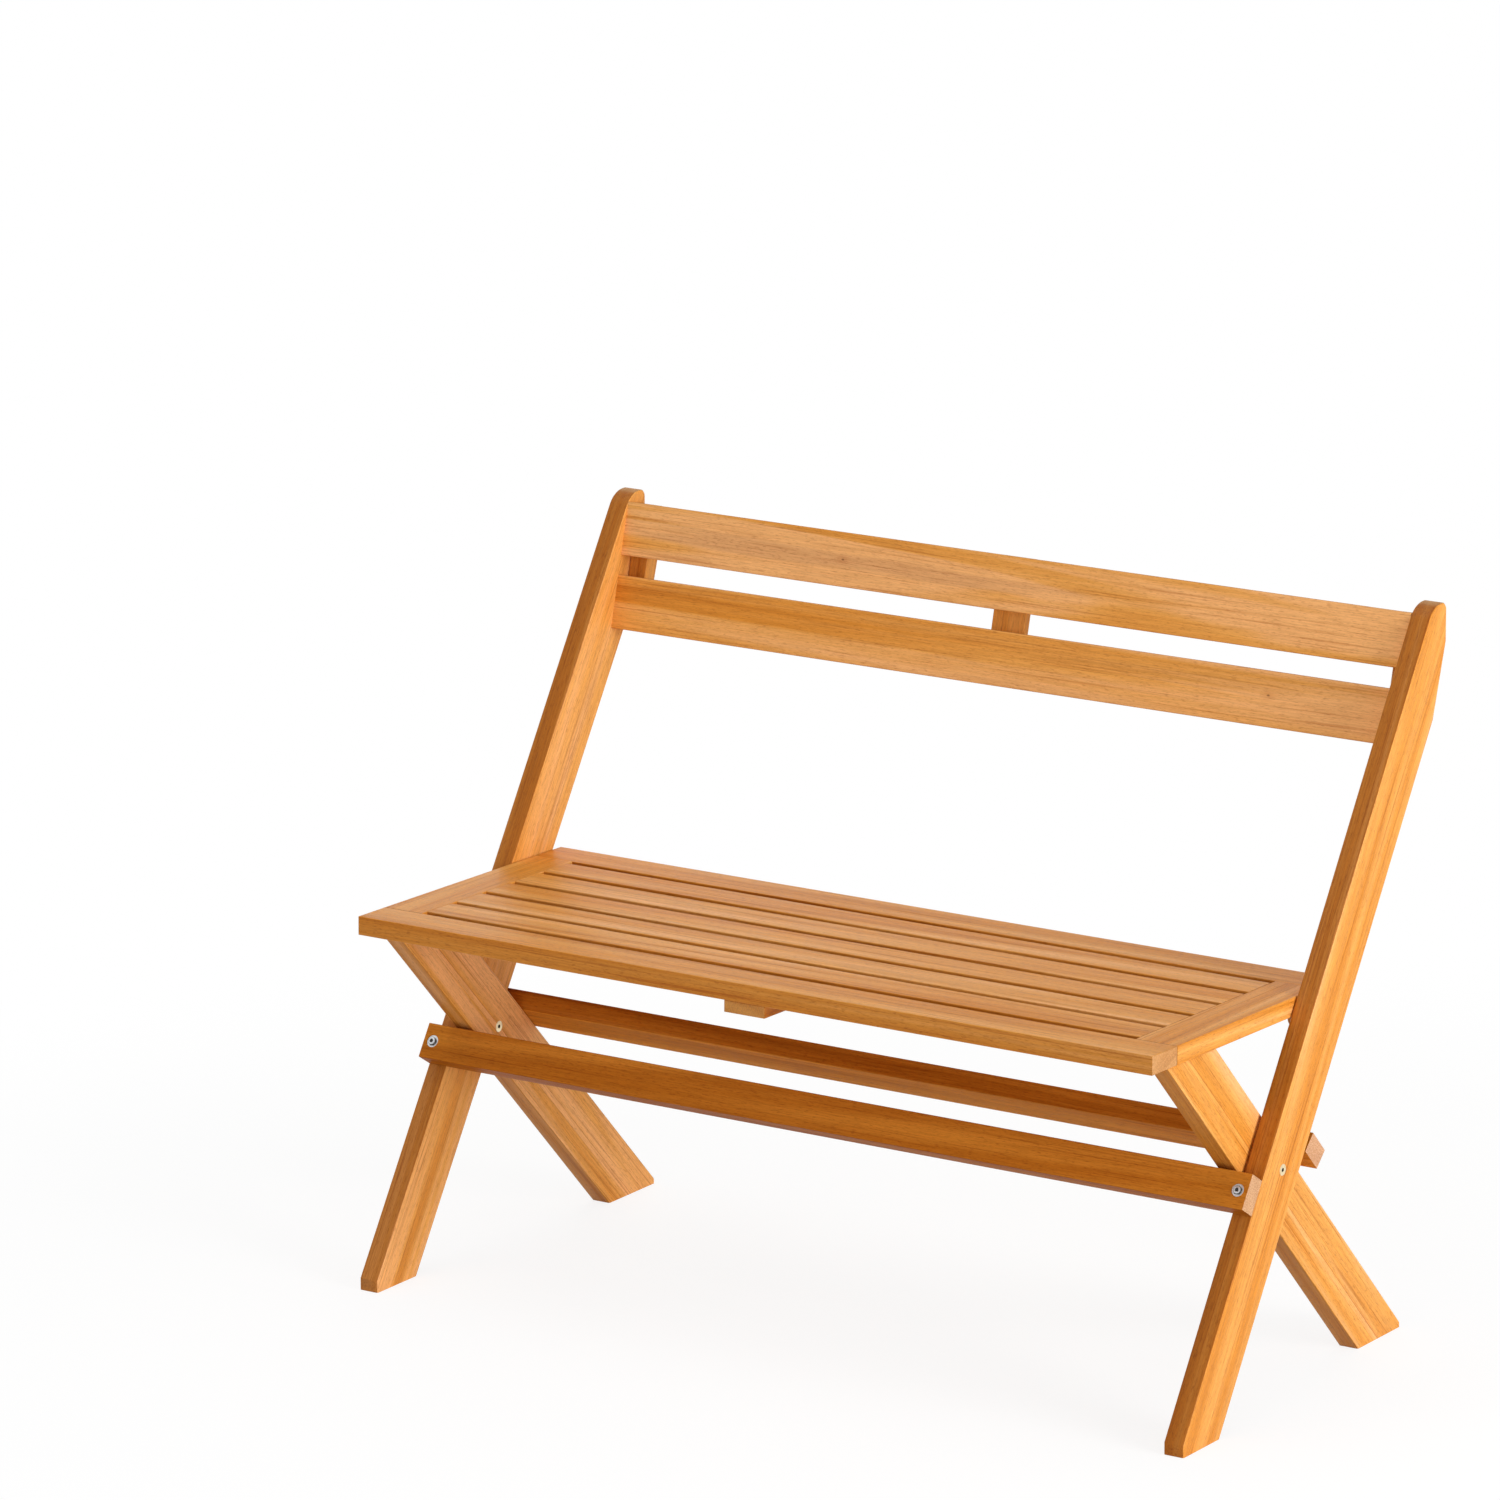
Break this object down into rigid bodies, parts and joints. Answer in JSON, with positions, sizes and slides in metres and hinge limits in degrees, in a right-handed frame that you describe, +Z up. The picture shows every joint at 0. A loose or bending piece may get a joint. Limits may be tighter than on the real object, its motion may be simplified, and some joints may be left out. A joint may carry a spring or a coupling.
{
  "type": "folding bench",
  "caption": "Wooden folding bench with crossed legs, a slatted seat that hinges up on its posts, and a slatted back.",
  "frame": {"origin": "on the floor, in the middle of the open bench's width and depth", "axes": "+X along the bench to the right when seen from the front, the front faces -Y, +Z up"},
  "size_m": [1.1, 0.5856, 0.84],
  "materials": {
    "frame_timber": "oiled hardwood, satin",
    "seat_timber": "oiled hardwood, satin",
    "back_timber": "oiled hardwood, satin",
    "dowel_timber": "plain beech",
    "yellow_metal": "yellow plated steel, satin",
    "bright_metal": "zinc plated steel, satin"
  },
  "bodies": {
    "post_frame": {"left_post": "frame_timber", "right_post": "frame_timber", "front_stretcher": "frame_timber", "left_pivot_nut": "yellow_metal", "right_pivot_nut": "yellow_metal", "left_pivot_bolt": "yellow_metal", "right_pivot_bolt": "yellow_metal", "pivot_spacers": "bright_metal", "front_stretcher_bolts": "bright_metal", "front_stretcher_washers": "bright_metal", "front_threaded_inserts": "yellow_metal", "upper_back_slat": "back_timber", "lower_back_slat": "back_timber", "left_back_cleat": "frame_timber", "right_back_cleat": "frame_timber", "back_batten": "frame_timber", "back_dowels": "dowel_timber"},
    "seat": {"seat_front_rail": "seat_timber", "seat_rear_rail": "seat_timber", "seat_left_rail": "seat_timber", "seat_right_rail": "seat_timber", "seat_slat_1": "seat_timber", "seat_slat_2": "seat_timber", "seat_slat_3": "seat_timber", "seat_slat_4": "seat_timber", "seat_slat_5": "seat_timber", "seat_batten": "seat_timber", "seat_batten_screws": "bright_metal", "left_hinge_block": "frame_timber", "right_hinge_block": "frame_timber", "hinge_block_screws": "bright_metal", "left_hinge_pin": "bright_metal", "right_hinge_pin": "bright_metal"},
    "leg_frame": {"left_leg": "frame_timber", "right_leg": "frame_timber", "rear_stretcher": "frame_timber", "rear_stretcher_bolts": "yellow_metal", "rear_stretcher_washers": "yellow_metal", "rear_threaded_inserts": "yellow_metal", "left_locating_pin": "bright_metal", "right_locating_pin": "bright_metal"}
  },
  "joints": [
    {"name": "seat_hinge", "type": "hinge", "parent": "post_frame", "child": "seat", "pos_m": [0, 0.03693, 0.41952], "axis": [-1, 0, 0], "range_deg": [0, 117]},
    {"name": "leg_fold", "type": "hinge", "parent": "post_frame", "child": "leg_frame", "pos_m": [0, -0.05741, 0.272], "axis": [-1, 0, 0], "range_deg": [0, 58.5]}
  ],
  "couplings": [
    {"joint": "leg_fold", "follows": "seat_hinge", "ratio": 0.5}
  ]
}
